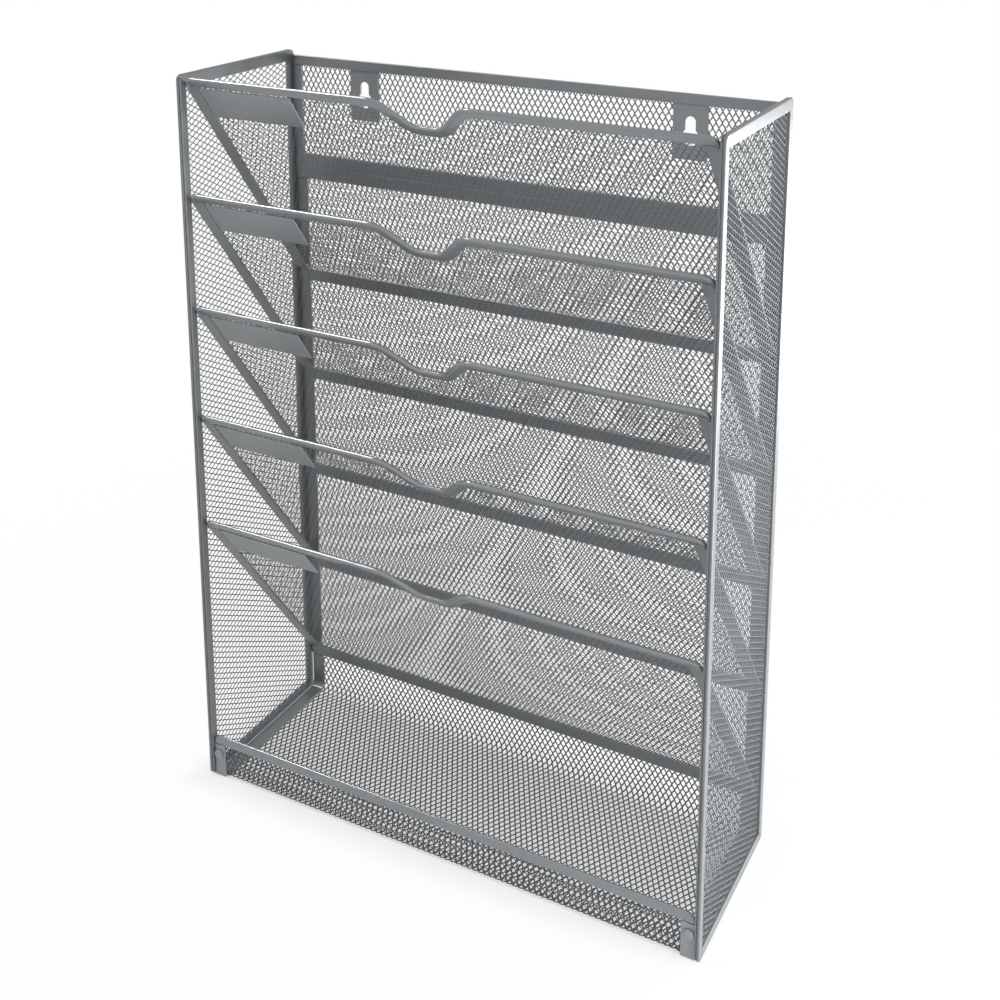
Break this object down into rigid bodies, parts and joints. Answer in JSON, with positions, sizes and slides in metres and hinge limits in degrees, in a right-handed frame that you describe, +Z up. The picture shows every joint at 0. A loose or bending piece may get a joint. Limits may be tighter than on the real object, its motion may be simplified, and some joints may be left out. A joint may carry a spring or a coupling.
{
  "type": "wall file organizer",
  "caption": "Wall file organizer of painted expanded-steel mesh: slanted file pockets with finger notches and label plates between framed side panels, a shallow tray below, keyhole hangers.",
  "frame": {"origin": "middle of the footprint at the underside, on the plane of the side panels' bottom rails", "axes": "+X to the viewer's right seen from the front, +Y to the wall behind, +Z up; the pockets face -Y"},
  "size_m": [0.325, 0.105, 0.445],
  "materials": {
    "frame_strip": "silver-grey satin powder coat on folded steel strip",
    "rim_strip": "silver-grey satin powder coat, rolled edge",
    "hem_strip": "silver-grey satin powder coat on folded steel strip",
    "plate": "silver-grey satin powder coat on pressed sheet steel",
    "mesh_sheet": "silver-grey satin powder coat on expanded steel mesh",
    "screw": "silver-grey satin, shallow domed head"
  },
  "bodies": {
    "root": {"side_left_front_stile": "frame_strip", "side_left_back_stile": "frame_strip", "side_left_top_rail": "frame_strip", "side_left_bottom_rail": "frame_strip", "side_left_mesh": "mesh_sheet", "side_right_front_stile": "frame_strip", "side_right_back_stile": "frame_strip", "side_right_top_rail": "frame_strip", "side_right_bottom_rail": "frame_strip", "side_right_mesh": "mesh_sheet", "back_top_rail": "frame_strip", "back_bottom_hem": "frame_strip", "back_left_stile": "frame_strip", "back_right_stile": "frame_strip", "back_mesh": "mesh_sheet", "hanger_left": "plate", "hanger_right": "plate", "pocket_1_mesh": "mesh_sheet", "pocket_1_rim": "rim_strip", "pocket_1_left_hem": "hem_strip", "pocket_1_right_hem": "hem_strip", "pocket_1_back_hem": "hem_strip", "pocket_1_label_plate": "plate", "pocket_2_mesh": "mesh_sheet", "pocket_2_rim": "rim_strip", "pocket_2_left_hem": "hem_strip", "pocket_2_right_hem": "hem_strip", "pocket_2_back_hem": "hem_strip", "pocket_2_label_plate": "plate", "pocket_3_mesh": "mesh_sheet", "pocket_3_rim": "rim_strip", "pocket_3_left_hem": "hem_strip", "pocket_3_right_hem": "hem_strip", "pocket_3_back_hem": "hem_strip", "pocket_3_label_plate": "plate", "pocket_4_mesh": "mesh_sheet", "pocket_4_rim": "rim_strip", "pocket_4_left_hem": "hem_strip", "pocket_4_right_hem": "hem_strip", "pocket_4_back_hem": "hem_strip", "pocket_4_label_plate": "plate", "pocket_5_mesh": "mesh_sheet", "pocket_5_rim": "rim_strip", "pocket_5_left_hem": "hem_strip", "pocket_5_right_hem": "hem_strip", "pocket_5_back_hem": "hem_strip", "pocket_5_label_plate": "plate", "tray_mesh": "mesh_sheet", "tray_left_hem": "hem_strip", "tray_right_hem": "hem_strip", "tray_back_hem": "hem_strip", "tray_lip_rail": "rim_strip", "tray_left_tab": "plate", "tray_right_tab": "plate", "tray_left_screw": "screw", "tray_right_screw": "screw"}
  },
  "joints": []
}
